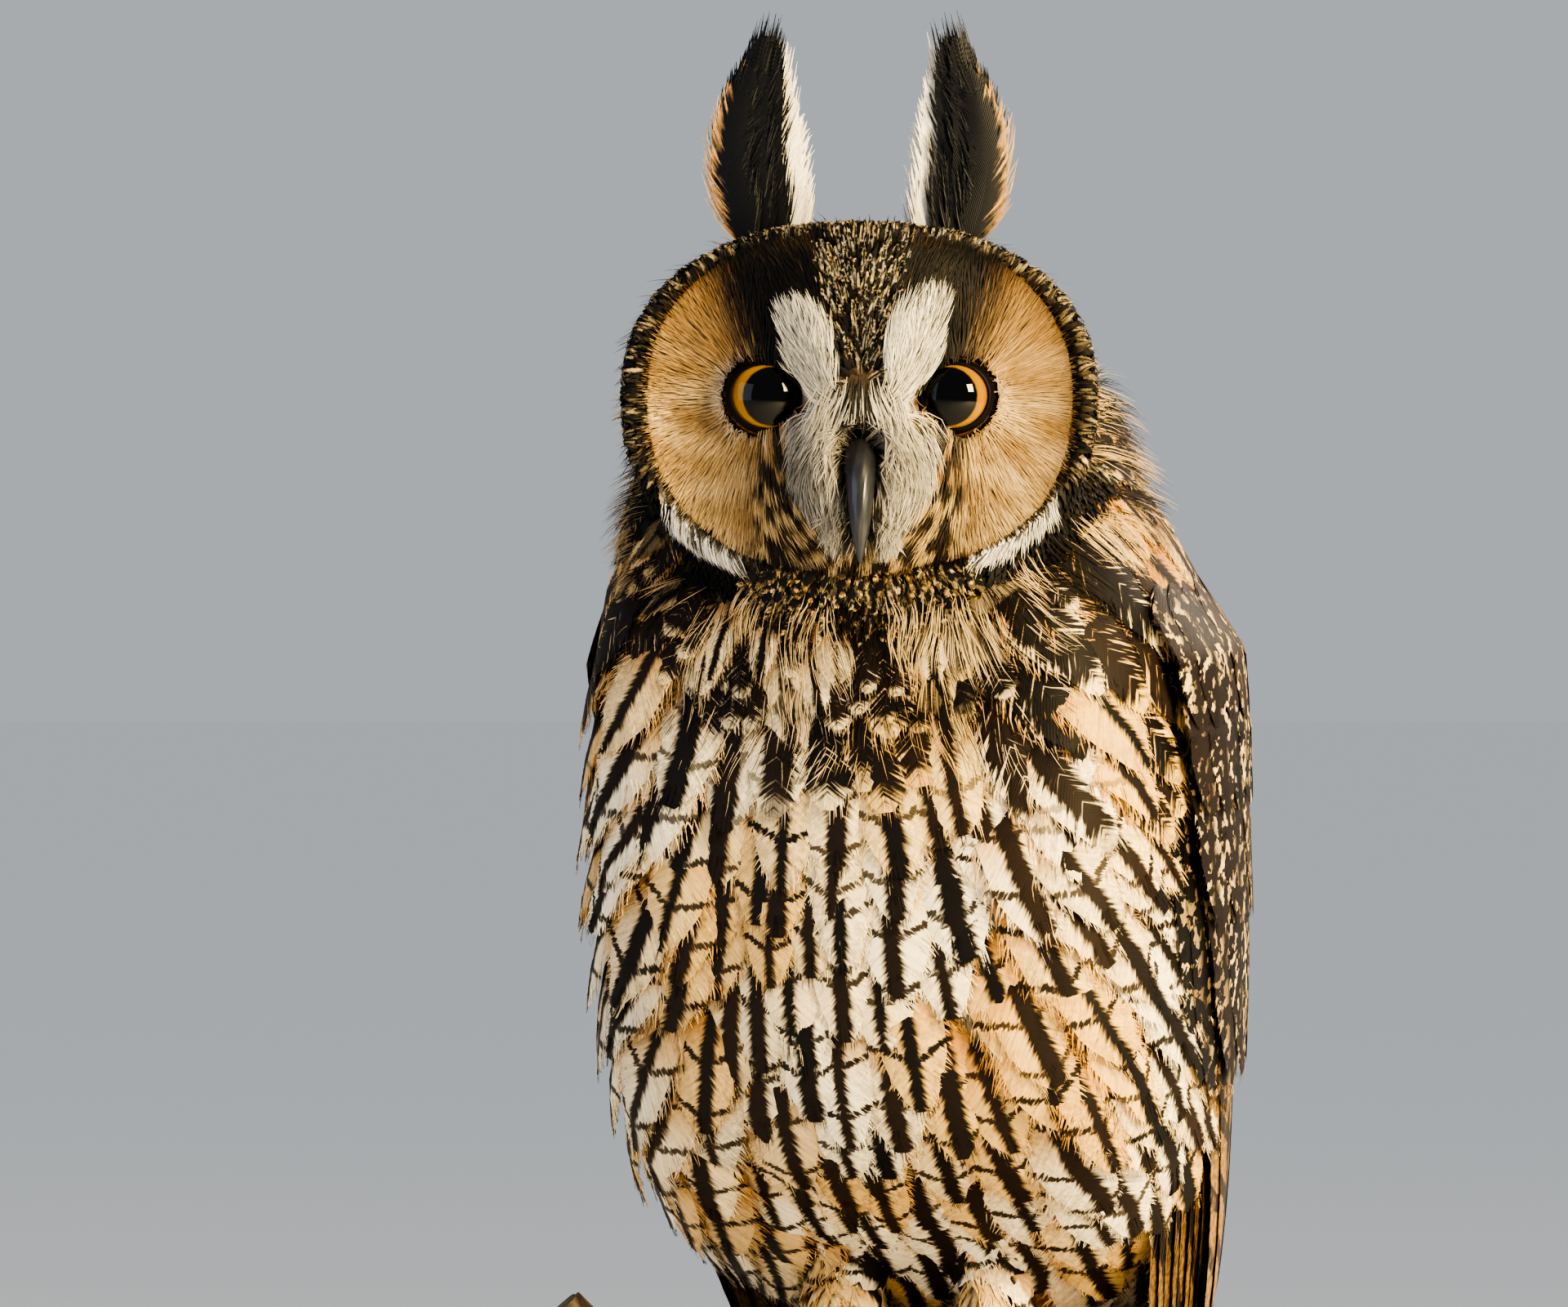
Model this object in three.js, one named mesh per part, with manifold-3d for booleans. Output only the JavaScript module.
// A long-eared owl, life size, gripping a short length of branch that a plain display stand
// holds up. Millimetres, +Z up. The breast faces -Y, so the owl's left side is +X, and the
// head is turned a little to its left. The origin is the middle of the stand's underside.
import * as THREE from "three";
import Module from "manifold-3d";

const wasm = await Module();
wasm.setup();
const { Manifold, Mesh } = wasm;

// Driving dimensions
const GAP = 0.3; // left between neighbouring pieces
const SIDES = { left: 1, right: -1 };

const PERCH_TOP = 122; // height of the branch's upper side, where the feet stand
const PERCH_RADIUS = 13;
const PERCH_LENGTH = 168;

const BASE = { width: 190, depth: 160, thick: 14, corner: 22, bevel: 2 };
const ROD = { radius: 4, apart: 124 };

const LEAN = { by: -3.5, from: 125, to: 170 }; // how far the neck leans to the owl's right
const HEAD_CENTRE = [LEAN.by, -25, PERCH_TOP + 181.5]; // at the height of the eyes
const HEAD_TURN = 18; // degrees to the owl's left
const HEAD = { halfWidth: 45.6, top: 33.5, bottom: 37, back: 37, squareness: 2.3 };
const EYE = { apart: 35.4, radius: 9.5, front: 31.2 };
const LID = { opening: 7.1, flatten: 0.94, thick: 1.35, front: 29, tilt: 12 };

const TAIL_CUT = 2; // heights over the branch where the body is parted
const NECK_CUT = 150;
const LEG = { apart: 30, ankle: 9 };
const TAIL_LENGTH = 100; // of the tail's tip below the top of the branch

// The plumage's outline: height over the branch, half width, front and back.
const BODY_STATIONS = [
  [-44, 17, 54, 61],
  [-30, 22, 47, 64],
  [-12, 25, 36, 65.5],
  [4, 30, 22, 66],
  [16, 40, -4, 66],
  [28, 47.5, -28, 64],
  [45, 52.5, -43, 61],
  [75, 55.5, -52, 58],
  [105, 56, -54, 54],
  [135, 56, -53, 47],
  [160, 53, -48, 36],
  [172, 47.5, -43, 29],
  [184, 42, -36, 21],
  [196, 24, -26, 6],
];

// The surface that the folded wings lie on, from the tips of the primaries to the shoulder.
const WING_STATIONS = [
  [-108, 25, 34, 77],
  [-60, 32, 12, 76],
  [-20, 40, -14, 74],
  [15, 49, -34, 71],
  [45, 54, -46, 66],
  [75, 57, -54, 61],
  [105, 57.5, -55.5, 56],
  [135, 57.5, -54.5, 49],
  [160, 55.5, -50, 39],
];
const GIRTH_SQUARENESS = 2.2;

// The feathers of the flank swell over the front edge of each folded wing. at and reach are
// degrees round from the side, low and high are heights over the branch.
const FLANK = { swell: 5.5, at: -44, reach: 17, low: 15, high: 160, fade: 28 };

// Rows of wing feathers. root and tip each hold the first and the last feather's [degrees
// round from the side, height over the branch], and lift the height of root and tip over the
// wing's surface. In a stacked row each feather lies under the next one behind it.
const WING_TIERS = [
  { name: "primaries", count: 6, width: 13, lift: [1.6, 0.6], stack: 0.95, rounded: true,
    root: [[-20, 64], [-4, 56]], tip: [[20, -92], [42, -74]], points: [8, -2, -6, -6, -2, 4] },
  { name: "secondaries", count: 5, width: 19.5, lift: [2, 2.4], rounded: true,
    root: [[-4, 64], [44, 80]], tip: [[16, -4], [62, 10]] },
  { name: "primary coverts", count: 3, width: 18, lift: [1.8, 3],
    root: [[-21, 106], [-7, 100]], tip: [[-13, 52], [1, 44]] },
  { name: "tertials", count: 2, width: 24, lift: [2, 4.6], rounded: true,
    root: [[50, 98], [62, 104]], tip: [[60, 20], [73, 26]] },
  { name: "greater coverts", count: 5, width: 24, lift: [2, 4.8],
    root: [[-14, 102], [40, 114]], tip: [[1, 46], [55, 58]] },
  { name: "median coverts", count: 4, width: 30, lift: [2, 6.6],
    root: [[-16, 132], [40, 138]], tip: [[-12, 80], [50, 88]] },
  { name: "scapulars", count: 3, width: 22, lift: [1.6, 6.4],
    root: [[42, 146], [68, 140]], tip: [[50, 94], [75, 84]] },
];
const ROLL = 0.75; // how far a feather's front edge stands over its middle line

// Small helpers
const V = (x, y, z) => new THREE.Vector3(x, y, z);
const rad = THREE.MathUtils.degToRad;
const mix = THREE.MathUtils.lerp;
const sharpen = (value, squareness) => Math.sign(value) * Math.abs(value) ** (2 / squareness);
const bump = (distance, reach) => Math.exp(-((distance / reach) ** 2));

// Reads stations, each a position and its values, as smooth curves.
function smooth(stations) {
  const places = stations.map((s) => s[0]);
  const values = stations.flatMap((s) => s.slice(1));
  const curve = new THREE.CubicInterpolant(places, values, stations[0].length - 1);
  return (place) => Array.from(curve.evaluate(place));
}

// A solid from points and triangles, turned to face outwards.
function solidFrom(points, triangles) {
  let volume = 0;
  for (let i = 0; i < triangles.length; i += 3) {
    const [a, b, c] = [points[triangles[i]], points[triangles[i + 1]], points[triangles[i + 2]]];
    volume += a.dot(b.clone().cross(c));
  }
  const facing = volume < 0 ? triangles.slice().reverse() : triangles;
  const positions = new Float32Array(points.flatMap((p) => [p.x, p.y, p.z]));
  return new Manifold(
    new Mesh({ numProp: 3, vertProperties: positions, triVerts: new Uint32Array(facing) }),
  );
}

// A closed solid through rings of equally many points, each end closed by a fan.
function loft(rings) {
  const count = rings[0].length;
  const points = rings.flat();
  const triangles = [];
  for (let i = 0; i < rings.length - 1; i++)
    for (let j = 0; j < count; j++) {
      const a = i * count + j;
      const b = i * count + ((j + 1) % count);
      triangles.push(a, b, b + count, a, b + count, a + count);
    }
  const last = (rings.length - 1) * count;
  const middle = (ring) => ring.reduce((sum, p) => sum.add(p), V(0, 0, 0)).divideScalar(count);
  points.push(middle(rings[0]), middle(rings[rings.length - 1]));
  for (let j = 0; j < count; j++) {
    const k = (j + 1) % count;
    triangles.push(k, j, points.length - 2, last + j, last + k, points.length - 1);
  }
  return solidFrom(points, triangles);
}

// A tube of oval section along points. sizes holds half width and half height at each point.
function tube(points, sizes, { sides = 10, grow = 0, across = V(1, 0, 0) } = {}) {
  const path = points.map((p) => V(...p));
  const first = path[0].clone().sub(path[1]).setLength(grow);
  const last = path.at(-1).clone().sub(path.at(-2)).setLength(grow);
  const rings = path.map((p, i) => {
    const along = path[Math.min(i + 1, path.length - 1)].clone().sub(path[Math.max(i - 1, 0)]);
    along.normalize();
    const wide = across.clone().addScaledVector(along, -across.dot(along)).normalize();
    const high = along.clone().cross(wide);
    const centre = p.clone();
    if (i === 0) centre.add(first);
    if (i === path.length - 1) centre.add(last);
    return Array.from({ length: sides }, (_, j) => {
      const turn = (2 * Math.PI * j) / sides;
      return centre
        .clone()
        .addScaledVector(wide, (sizes[i][0] + grow) * Math.cos(turn))
        .addScaledVector(high, (sizes[i][1] + grow) * Math.sin(turn));
    });
  });
  return loft(rings);
}

// An ellipsoid. Its poles lie on the Y axis.
function ellipsoid(centre, radii, { sides = 20, rings = 10, grow = 0 } = {}) {
  const made = [];
  for (let i = 1; i < rings; i++) {
    const polar = (Math.PI * i) / rings;
    made.push(
      Array.from({ length: sides }, (_, j) => {
        const turn = (2 * Math.PI * j) / sides;
        return V(
          centre[0] + (radii[0] + grow) * Math.sin(polar) * Math.cos(turn),
          centre[1] - (radii[1] + grow) * Math.cos(polar),
          centre[2] + (radii[2] + grow) * Math.sin(polar) * Math.sin(turn),
        );
      }),
    );
  }
  return loft(made);
}

// A thin plate from a grid of points on its middle surface. It has one thickness for each
// row, is ridged along its middle column, and is split alike on both faces.
function plate(grid, normals, thickness, ridge = 0) {
  const rows = grid.length;
  const columns = grid[0].length;
  const centre = (columns - 1) / 2;
  const points = [];
  for (const face of [1, -1])
    grid.forEach((row, i) =>
      row.forEach((p, j) => {
        const extra = j === centre && face > 0 ? ridge : 0;
        points.push(p.clone().addScaledVector(normals[i][j], face * thickness[i] / 2 + extra));
      }),
    );
  const lower = rows * columns;
  const triangles = [];
  const at = (i, j) => i * columns + j;
  for (let i = 0; i < rows - 1; i++)
    for (let j = 0; j < columns - 1; j++) {
      const [a, b, c, d] = [at(i, j), at(i + 1, j), at(i + 1, j + 1), at(i, j + 1)];
      triangles.push(a, b, c, a, c, d);
      triangles.push(lower + a, lower + c, lower + b, lower + a, lower + d, lower + c);
    }
  const rim = [];
  for (let j = 0; j < columns - 1; j++) rim.push(at(0, j));
  for (let i = 0; i < rows - 1; i++) rim.push(at(i, columns - 1));
  for (let j = columns - 1; j > 0; j--) rim.push(at(rows - 1, j));
  for (let i = rows - 1; i > 0; i--) rim.push(at(i, 0));
  rim.forEach((a, k) => {
    const b = rim[(k + 1) % rim.length];
    triangles.push(a, b, lower + b, a, lower + b, lower + a);
  });
  return solidFrom(points, triangles);
}

// A feather's vane in rows from root to tip: [how far along, share of the width, thickness].
const LONG_VANE = [[0, 0.4, 0.7], [0.42, 0.92, 0.6], [0.8, 1, 0.55], [0.95, 0.66, 0.5], [1, 0.16, 0.4]];
const SHORT_VANE = [[0, 0.5, 0.7], [0.5, 0.96, 0.6], [0.86, 0.82, 0.5], [1, 0.2, 0.4]];

// place(s, u) is the vane's middle surface, with s from root to tip and u across. face is 1
// or -1, for the side that the ridge of its quill shows on.
function feather(place, { vane = LONG_VANE, ridge = 0.2, face = 1 } = {}) {
  const step = 0.02;
  const grid = vane.map(([s, share]) => [-1, 0, 1].map((u) => place(s, u * share)));
  const normals = vane.map(([s, share]) => {
    const from = Math.min(s, 1 - step);
    const along = place(from + step, 0).sub(place(from, 0));
    const across = place(s, share / 2).sub(place(s, -share / 2));
    const normal = along.cross(across).setLength(face);
    return [normal, normal, normal];
  });
  return plate(grid, normals, vane.map((row) => row[2]), ridge);
}

const joined = (solids) => Manifold.union(solids);
const largest = (solid) =>
  solid.decompose().reduce((best, body) => (body.volume() > best.volume() ? body : best));
const above = (solid, height) => solid.trimByPlane([0, 0, 1], height);
const below = (solid, height) => solid.trimByPlane([0, 0, -1], -height);

// Body and neck
const bodyAt = smooth(BODY_STATIONS);
const wingAt = smooth(WING_STATIONS);

// A point of a girth at an angle in degrees, from the side round by the back. side is 1 to
// start at the owl's left and -1 to start at its right.
function girthPoint(stations, degrees, height, lift, side = 1) {
  const [halfWidth, front, back] = stations(height);
  const turn = rad(degrees);
  const lean = LEAN.by * THREE.MathUtils.smoothstep(height, LEAN.from, LEAN.to);
  return V(
    lean + side * (halfWidth + lift) * sharpen(Math.cos(turn), GIRTH_SQUARENESS),
    (front + back) / 2 + ((back - front) / 2 + lift) * sharpen(Math.sin(turn), GIRTH_SQUARENESS),
    PERCH_TOP + height,
  );
}

function flankSwell(degrees, height) {
  const fromSide = degrees > 180 ? degrees - 360 : degrees;
  const folded = Math.abs(fromSide) > 90 ? Math.sign(fromSide) * 180 - fromSide : fromSide;
  const rise = THREE.MathUtils.smoothstep(height, FLANK.low, FLANK.low + FLANK.fade);
  const fall = 1 - THREE.MathUtils.smoothstep(height, FLANK.high - FLANK.fade, FLANK.high);
  return FLANK.swell * bump(folded - FLANK.at, FLANK.reach) * rise * fall;
}

function bodySolid(grow = 0) {
  const [low, high, rings, sides] = [BODY_STATIONS[0][0], BODY_STATIONS.at(-1)[0], 18, 32];
  return loft(
    Array.from({ length: rings + 1 }, (_, i) =>
      Array.from({ length: sides }, (_, j) => {
        const degrees = (360 * j) / sides;
        const height = mix(low - grow, high + grow, i / rings);
        return girthPoint(bodyAt, degrees, height, grow + flankSwell(degrees, height));
      }),
    ),
  );
}

// The head, made in its own frame: the face looks along -Y, and z is 0 at the eyes.
const outline = (turn) => {
  const high = Math.sin(turn) > 0 ? HEAD.top : HEAD.bottom;
  return [
    HEAD.halfWidth * sharpen(Math.cos(turn), HEAD.squareness),
    high * sharpen(Math.sin(turn), HEAD.squareness),
  ];
};

// How far the face stands in front of the head's centre. share is 0 at its middle and 1 at
// the ruff round it.
function faceDepth(x, z, share) {
  const side = Math.abs(x);
  const keel = 37 - 17 * (side / HEAD.halfWidth) ** 1.15 - 11 * (Math.abs(z) / HEAD.top) ** 2.3;
  const dish = -3.2 * bump(side - 29, 12) * bump(z + 2, 22);
  const ruff = 3 * bump(share - 0.95, 0.07);
  const socket = -2.4 * bump(Math.hypot(side - EYE.apart / 2, z), 9);
  const brow = 2.6 * bump(side - (4.5 + 0.38 * Math.max(z, 0)), 4) * bump(z - 9, 12);
  const cheek = 4 * bump(side - 6.5, 5) * bump(z + 18, 9.5);
  return keel + dish + ruff + socket + brow + cheek;
}

const FACE_RINGS = [0.11, 0.22, 0.33, 0.44, 0.55, 0.66, 0.77, 0.86, 0.92, 0.96, 1];
const SKULL_RINGS = [13, 29, 46, 63, 79]; // degrees from the ruff to the back of the head

function headSolid({ grow = 0, sides = 44 } = {}) {
  const turns = Array.from({ length: sides }, (_, j) => (2 * Math.PI * j) / sides);
  const front = FACE_RINGS.map((share) =>
    turns.map((turn) => {
      const [x, z] = outline(turn).map((v) => v * share);
      return V(x, -faceDepth(x, z, share), z);
    }),
  );
  const rear = SKULL_RINGS.map((degrees) =>
    turns.map((turn) => {
      const [rimX, rimZ] = outline(turn);
      const [x, z] = [rimX, rimZ].map((v) => v * Math.cos(rad(degrees)) ** 0.72);
      return V(x, mix(-faceDepth(rimX, rimZ, 1), HEAD.back, Math.sin(rad(degrees)) ** 0.95), z);
    }),
  );
  const rings = [...front, ...rear];
  rings.flat().forEach((p) => p.add(p.clone().setLength(grow)));
  return loft(rings);
}

const eyeSpot = (side) => [(side * EYE.apart) / 2, -(EYE.front - EYE.radius), 0];

// A raised ring of lid round one eye, turned a little outwards with the face.
function eyelid(side) {
  const ring = [];
  const [sides, edges] = [20, 5];
  for (let i = 0; i < sides; i++) {
    const turn = (2 * Math.PI * i) / sides;
    ring.push(
      Array.from({ length: edges }, (_, j) => {
        const round = (2 * Math.PI * j) / edges;
        const out = LID.opening + LID.thick * Math.cos(round);
        const x = out * Math.cos(turn);
        const deep = -LID.thick * 1.1 * Math.sin(round) + x * side * Math.tan(rad(LID.tilt));
        return V((side * EYE.apart) / 2 + x, deep - LID.front, out * LID.flatten * Math.sin(turn));
      }),
    );
  }
  const points = ring.flat();
  const triangles = [];
  for (let i = 0; i < sides; i++)
    for (let j = 0; j < edges; j++) {
      const a = i * edges + j;
      const b = i * edges + ((j + 1) % edges);
      const c = ((i + 1) % sides) * edges + j;
      const d = ((i + 1) % sides) * edges + ((j + 1) % edges);
      triangles.push(a, b, d, a, d, c);
    }
  return solidFrom(points, triangles);
}

const eyeSolid = (side, grow = 0) =>
  ellipsoid(eyeSpot(side), Array(3).fill(EYE.radius), { sides: 16, rings: 8, grow });

// The bill in the head's frame: across it x is 0, and the hook's tip points down.
const UPPER_BILL = {
  path: [[0, -25, -10], [0, -32, -10.5], [0, -37.2, -13.5], [0, -40.3, -19], [0, -40.9, -26], [0, -39.6, -31.6]],
  sizes: [[3.8, 5.2], [3.6, 4.9], [3.2, 4.2], [2.6, 3.2], [1.7, 2], [0.3, 0.3]],
};
const LOWER_BILL = {
  path: [[0, -26, -20.5], [0, -31.5, -22.5], [0, -35, -25.2], [0, -36.8, -28.2]],
  sizes: [[2.8, 2.2], [2.6, 2], [1.9, 1.5], [0.3, 0.3]],
};
const billSolid = (bill, grow = 0) => tube(bill.path, bill.sizes, { sides: 12, grow });
const nostril = (side) => ellipsoid([side * 3.5, -35.4, -12], [1.2, 1.1, 0.8], { sides: 8, rings: 5 });

// An ear tuft: long feathers in a fan, standing on the crown. outward is away from the
// middle of the head, and t runs from -1 at the outer feather to 1 at the inner one.
const TUFT = { count: 6, apart: 16, depth: 13, root: 29, tip: 68, halfWidth: 4.6 };
const tuftRoot = (side, grow = 0) =>
  ellipsoid([side * TUFT.apart, -TUFT.depth, 30.5], [9, 6.5, 5.4], { sides: 12, rings: 6, grow });

function tuftFeather(side, index) {
  const t = mix(-1, 1, index / (TUFT.count - 1));
  const tip = TUFT.tip - 11 * t * t - 4 * t;
  const depth = TUFT.depth + 3.6 - 1.05 * ((index * 3) % TUFT.count);
  const place = (s, u) => {
    const outward =
      TUFT.apart - 4.4 * t * (1 - 0.25 * s) + (3 - 1.2 * t) * Math.sin(Math.PI * s) + 0.8 * s;
    const x = side * (outward + u * TUFT.halfWidth);
    return V(x, -depth + 4 * s + 0.7 * u * u, mix(TUFT.root, tip, s));
  };
  return feather(place, { face: -side });
}
const tuftSolid = (side) =>
  joined([
    tuftRoot(side),
    ...Array.from({ length: TUFT.count }, (_, i) => tuftFeather(side, i)),
  ]);

// Puts a solid of the head's frame in its place on the body.
const onHead = (solid) => solid.rotate([0, 0, HEAD_TURN]).translate(HEAD_CENTRE);

// Wings
const pair = (range, t) => range[0].map((v, k) => mix(v, range[1][k], t));

// A vane that lies on the wing's surface, its front edge raised over the feather before it.
function wingFeather(side, tier, index) {
  const t = index / (tier.count - 1);
  const root = pair(tier.root, t);
  const tip = pair(tier.tip, t);
  const sunk = (tier.stack ?? 0) * (tier.count - 1 - index);
  if (tier.points) tip[1] += tier.points[index];
  const place = (s, u) => {
    const height = mix(root[1], tip[1], s);
    const [halfWidth] = wingAt(height);
    const sweep = tier.stack ? s ** 0.7 : s;
    const degrees = mix(root[0], tip[0], sweep) + (u * tier.width * 90) / (Math.PI * halfWidth);
    const lift = mix(tier.lift[0], tier.lift[1], Math.min(1, 2 * s)) - sunk - ROLL * u;
    return girthPoint(wingAt, degrees, height, lift, side);
  };
  return feather(place, { vane: tier.rounded ? LONG_VANE : SHORT_VANE, face: side });
}

// The wing's arm: a plate with a rounded edge that all its feathers grow from.
function wingArm(side) {
  const [rows, columns] = [5, 7];
  const grid = [];
  const thickness = [];
  for (let i = 0; i < rows; i++) {
    const down = i / (rows - 1);
    const height = mix(146, 54, down);
    thickness.push(mix(2, 3.6, Math.sin(Math.PI * Math.min(1, down * 1.15)) ** 0.5));
    grid.push(
      Array.from({ length: columns }, (_, j) => {
        const across = mix(-1, 1, j / (columns - 1));
        const front = mix(-24, -16, down);
        const degrees = mix(front, mix(66, 50, down), (across + 1) / 2);
        return girthPoint(wingAt, degrees, height, 2 - 1.6 * across ** 4, side);
      }),
    );
  }
  const normals = grid.map((row) =>
    row.map((p) => {
      const [, front, back] = wingAt(p.z - PERCH_TOP);
      return V(p.x, p.y - (front + back) / 2, 0).normalize();
    }),
  );
  return plate(grid, normals, thickness);
}

function wingSolid(side) {
  const feathers = WING_TIERS.flatMap((tier) =>
    Array.from({ length: tier.count }, (_, i) => wingFeather(side, tier, i)),
  );
  return largest(joined([wingArm(side), ...feathers]).subtract(bodySolid(GAP)));
}

// Tail
const TAIL = { pairs: 6, root: -26, width: 20, layer: 0.95, back: 62.5, trail: 5, rounding: 0.35 };
const TAIL_SPREAD = { root: [1.8, 1.2], tip: [3.4, 2.7] }; // of the first feather and per feather

function tailFeather(side, index) {
  const layer = TAIL.layer * (2 * index + (side < 0 ? 1 : 0));
  const tip = -TAIL_LENGTH + TAIL.rounding * index * index;
  const [root, end] = [TAIL_SPREAD.root, TAIL_SPREAD.tip].map(([from, by]) => from + by * index);
  const place = (s, u) => {
    const x = side * mix(root, end, s) + (u * TAIL.width) / 2;
    const y = TAIL.back - layer + TAIL.trail * s - 0.5 * u * u;
    return V(x, y, PERCH_TOP + mix(TAIL.root, tip, s));
  };
  return feather(place, { vane: SHORT_VANE, face: -1 });
}
const tailFeathers = Object.values(SIDES).flatMap((side) =>
  Array.from({ length: TAIL.pairs }, (_, i) => tailFeather(side, i)),
);

// Branch
const perchHeight = PERCH_TOP - PERCH_RADIUS;

function perchSolid(grow = 0) {
  const [rings, sides] = [12, 16];
  const branch = loft(
    Array.from({ length: rings + 1 }, (_, i) => {
      const end = PERCH_LENGTH / 2 + grow;
      const x = mix(-end, end, i / rings);
      const taper = mix(1.05, 0.93, i / rings);
      return Array.from({ length: sides }, (_, j) => {
        const turn = (2 * Math.PI * j) / sides;
        const bark = 0.4 * Math.sin(3 * turn + x * 0.06) + 0.35 * Math.sin(x * 0.17 + 2 * turn);
        const knot = 2.6 * bump(x + 56, 9) * bump(Math.sin(turn / 2 - 0.5), 0.5);
        const radius = (PERCH_RADIUS - 0.6) * taper + bark + knot + grow;
        return V(x, radius * Math.cos(turn), perchHeight + radius * Math.sin(turn));
      });
    }),
  );
  const twig = tube(
    [[-54, -4, perchHeight + 4], [-60, -9, perchHeight + 12], [-67, -13, perchHeight + 21]],
    [[6, 6], [4.6, 4.6], [4, 4]],
    { sides: 10, grow },
  );
  return branch.add(twig);
}

// Legs and feet. A toe runs round the branch: 0 degrees is its front and 90 its top.
const TOES = [
  { name: "inner", start: [-1, 74], end: [-6, 6], length: 1 },
  { name: "middle", start: [2, 74], end: [3, -10], length: 1 },
  { name: "outer", start: [3, 104], end: [10, 168], length: 1 },
  { name: "hind", start: [-1, 106], end: [-5, 172], length: 1 },
];
const TOE_RADII = [4.3, 4.1, 3.5, 3.6, 2.9];
const CLAW = { span: 46, radii: [1.9, 1.75, 1.4, 0.95, 0.3], rise: [0, 1.5, 1.9, 0.9, -1.2] };

function roundPerch(x, degrees, radius) {
  const turn = rad(degrees);
  return [x, -radius * Math.cos(turn), perchHeight + radius * Math.sin(turn)];
}
const footX = (side, x) => side * (LEG.apart / 2 + x);

function toeSolid(side, toe) {
  const steps = TOE_RADII.length;
  const points = TOE_RADII.map((radius, i) => {
    const t = i / (steps - 1);
    const x = footX(side, mix(toe.start[0], toe.end[0], t));
    return roundPerch(x, mix(toe.start[1], toe.end[1], t), PERCH_RADIUS + radius * 0.86 + 0.4);
  });
  return tube(points, TOE_RADII.map((r) => [r, r * 0.92]), { sides: 7 });
}

function clawSolid(side, toe, grow = 0) {
  const steps = CLAW.radii.length;
  const way = Math.sign(toe.end[1] - toe.start[1]);
  const from = toe.end[1] - way * 9;
  const points = CLAW.radii.map((_, i) => {
    const t = i / (steps - 1);
    const radius = PERCH_RADIUS + 2.9 + CLAW.rise[i];
    return roundPerch(footX(side, toe.end[0]), from + way * CLAW.span * t, radius);
  });
  return tube(points, CLAW.radii.map((r) => [r * 0.9, r]), { sides: 6, grow });
}

const legSolid = (side, grow = 0) =>
  tube(
    [
      [footX(side, 0), 6, PERCH_TOP + 34],
      [footX(side, 0), 3, PERCH_TOP + 20],
      [footX(side, 0), 0, PERCH_TOP + 10],
      [footX(side, 0), 0, PERCH_TOP + 4],
    ],
    [[10, 11], [8.4, 9], [6.8, 7.2], [6.4, 6.8]],
    { sides: 14, grow },
  );

function footSolid(side) {
  const ankle = ellipsoid([footX(side, 0), 0, PERCH_TOP + 6.5], [6.8, 7.4, 5.6], { sides: 12, rings: 6 });
  const claws = joined(TOES.map((toe) => clawSolid(side, toe, GAP)));
  const foot = joined([ankle, ...TOES.map((toe) => toeSolid(side, toe))]);
  return largest(
    below(foot, PERCH_TOP + LEG.ankle - GAP / 2).subtract(perchSolid(GAP)).subtract(claws),
  );
}

// Stand
function baseGeometry() {
  const shape = new THREE.Shape();
  const [w, d] = [BASE.width / 2 - BASE.bevel, BASE.depth / 2 - BASE.bevel];
  const r = BASE.corner - BASE.bevel;
  shape.moveTo(-w + r, -d);
  shape.absarc(w - r, -d + r, r, -Math.PI / 2, 0);
  shape.absarc(w - r, d - r, r, 0, Math.PI / 2);
  shape.absarc(-w + r, d - r, r, Math.PI / 2, Math.PI);
  shape.absarc(-w + r, -d + r, r, Math.PI, 1.5 * Math.PI);
  const geometry = new THREE.ExtrudeGeometry(shape, {
    depth: BASE.thick - 2 * BASE.bevel,
    bevelThickness: BASE.bevel,
    bevelSize: BASE.bevel,
    bevelSegments: 1,
    curveSegments: 4,
  });
  return geometry.translate(0, 0, BASE.bevel);
}

function rodSolid(side) {
  const x = (side * ROD.apart) / 2;
  const points = [[x, 0, BASE.thick + GAP], [x, 0, perchHeight]];
  const sizes = points.map(() => [ROD.radius, ROD.radius]);
  return largest(below(tube(points, sizes, { sides: 20 }).subtract(perchSolid(GAP)), perchHeight));
}

// The scene graph
const paint = (colour, roughness, metalness = 0) =>
  new THREE.MeshStandardMaterial({ color: colour, roughness, metalness });
const PAINTS = {
  plumage: paint("#c9a878", 0.9),
  dark: paint("#4a3a2c", 0.85),
  horn: paint("#26262a", 0.35),
  iris: paint("#e08a12", 0.1),
  down: paint("#d8b98a", 0.95),
  bark: paint("#6e5a48", 0.95),
  wood: paint("#3b2a20", 0.5),
  steel: paint("#2c2c2e", 0.4, 0.8),
};

const owl = new THREE.Group();

function addGeometry(name, geometry, material) {
  const mesh = new THREE.Mesh(geometry, material);
  mesh.name = name;
  owl.add(mesh);
}

function addSolid(name, solid, material) {
  const { vertProperties, triVerts } = solid.getMesh();
  const geometry = new THREE.BufferGeometry();
  geometry.setAttribute("position", new THREE.BufferAttribute(vertProperties, 3));
  geometry.setIndex(new THREE.BufferAttribute(triVerts, 1));
  geometry.computeVertexNormals();
  addGeometry(name, geometry, material);
}

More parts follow.
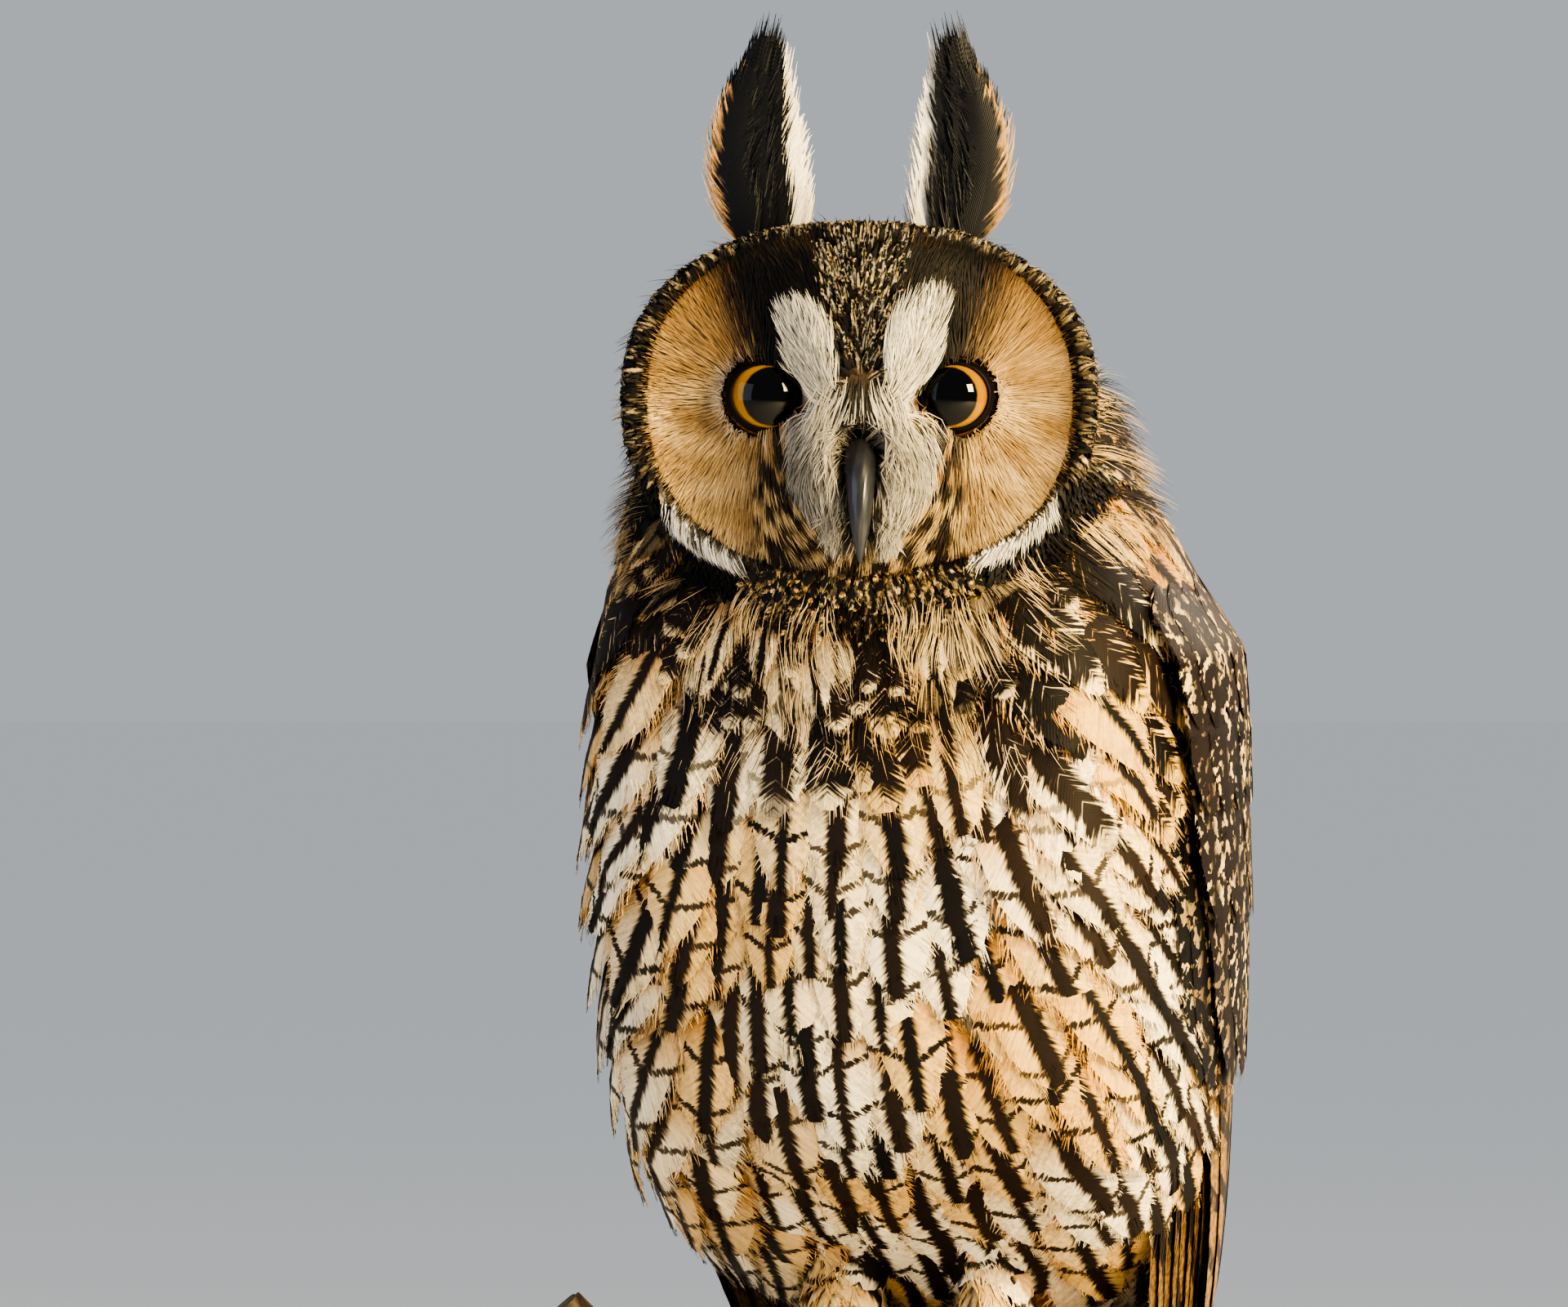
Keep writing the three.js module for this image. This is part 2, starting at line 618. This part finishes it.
function addHead() {
  const both = Object.values(SIDES);
  const upper = billSolid(UPPER_BILL).subtract(joined(both.map(nostril)));
  const lower = largest(billSolid(LOWER_BILL).subtract(billSolid(UPPER_BILL, GAP)));
  const holes = [
    ...both.map((side) => eyeSolid(side, GAP)),
    ...both.map((side) => tuftRoot(side, GAP)),
    billSolid(UPPER_BILL, GAP),
    billSolid(LOWER_BILL, GAP),
  ];
  const skull = joined([headSolid(), ...both.map(eyelid)]).subtract(joined(holes));
  addSolid("head", onHead(largest(skull)), PAINTS.plumage);
  addSolid("bill_upper", onHead(upper), PAINTS.horn);
  addSolid("bill_lower", onHead(lower), PAINTS.horn);
  for (const [word, side] of Object.entries(SIDES)) {
    addSolid(`eye_${word}`, onHead(eyeSolid(side)), PAINTS.iris);
    addSolid(`ear_tuft_${word}`, onHead(largest(tuftSolid(side))), PAINTS.dark);
  }
}

function addBody() {
  const body = bodySolid();
  const head = onHead(headSolid({ grow: 1.5 * GAP }));
  const legs = joined(Object.values(SIDES).map((side) => legSolid(side, GAP)));
  const neckCut = PERCH_TOP + NECK_CUT;
  const tailCut = PERCH_TOP + TAIL_CUT;
  const torso = above(below(body, neckCut - GAP / 2), tailCut + GAP / 2);
  addSolid("torso", largest(torso.subtract(head).subtract(legs)), PAINTS.plumage);
  addSolid("neck", largest(above(body, neckCut + GAP / 2).subtract(head)), PAINTS.plumage);
  const tail = joined([below(body, tailCut - GAP / 2), ...tailFeathers]);
  addSolid("tail", largest(tail), PAINTS.dark);
}

function addLimbs() {
  const ankle = PERCH_TOP + LEG.ankle + GAP / 2;
  for (const [word, side] of Object.entries(SIDES)) {
    addSolid(`wing_${word}`, wingSolid(side), PAINTS.dark);
    addSolid(`leg_${word}`, above(legSolid(side), ankle), PAINTS.down);
    addSolid(`foot_${word}`, footSolid(side), PAINTS.down);
    for (const toe of TOES) {
      const claw = clawSolid(side, toe).subtract(perchSolid(GAP));
      addSolid(`claw_${toe.name}_${word}`, largest(claw), PAINTS.horn);
    }
  }
}

function addStand() {
  addSolid("perch", perchSolid(), PAINTS.bark);
  addGeometry("stand_base", baseGeometry(), PAINTS.wood);
  for (const [word, side] of Object.entries(SIDES))
    addSolid(`stand_rod_${word}`, rodSolid(side), PAINTS.steel);
}

addHead();
addBody();
addLimbs();
addStand();

export default owl;
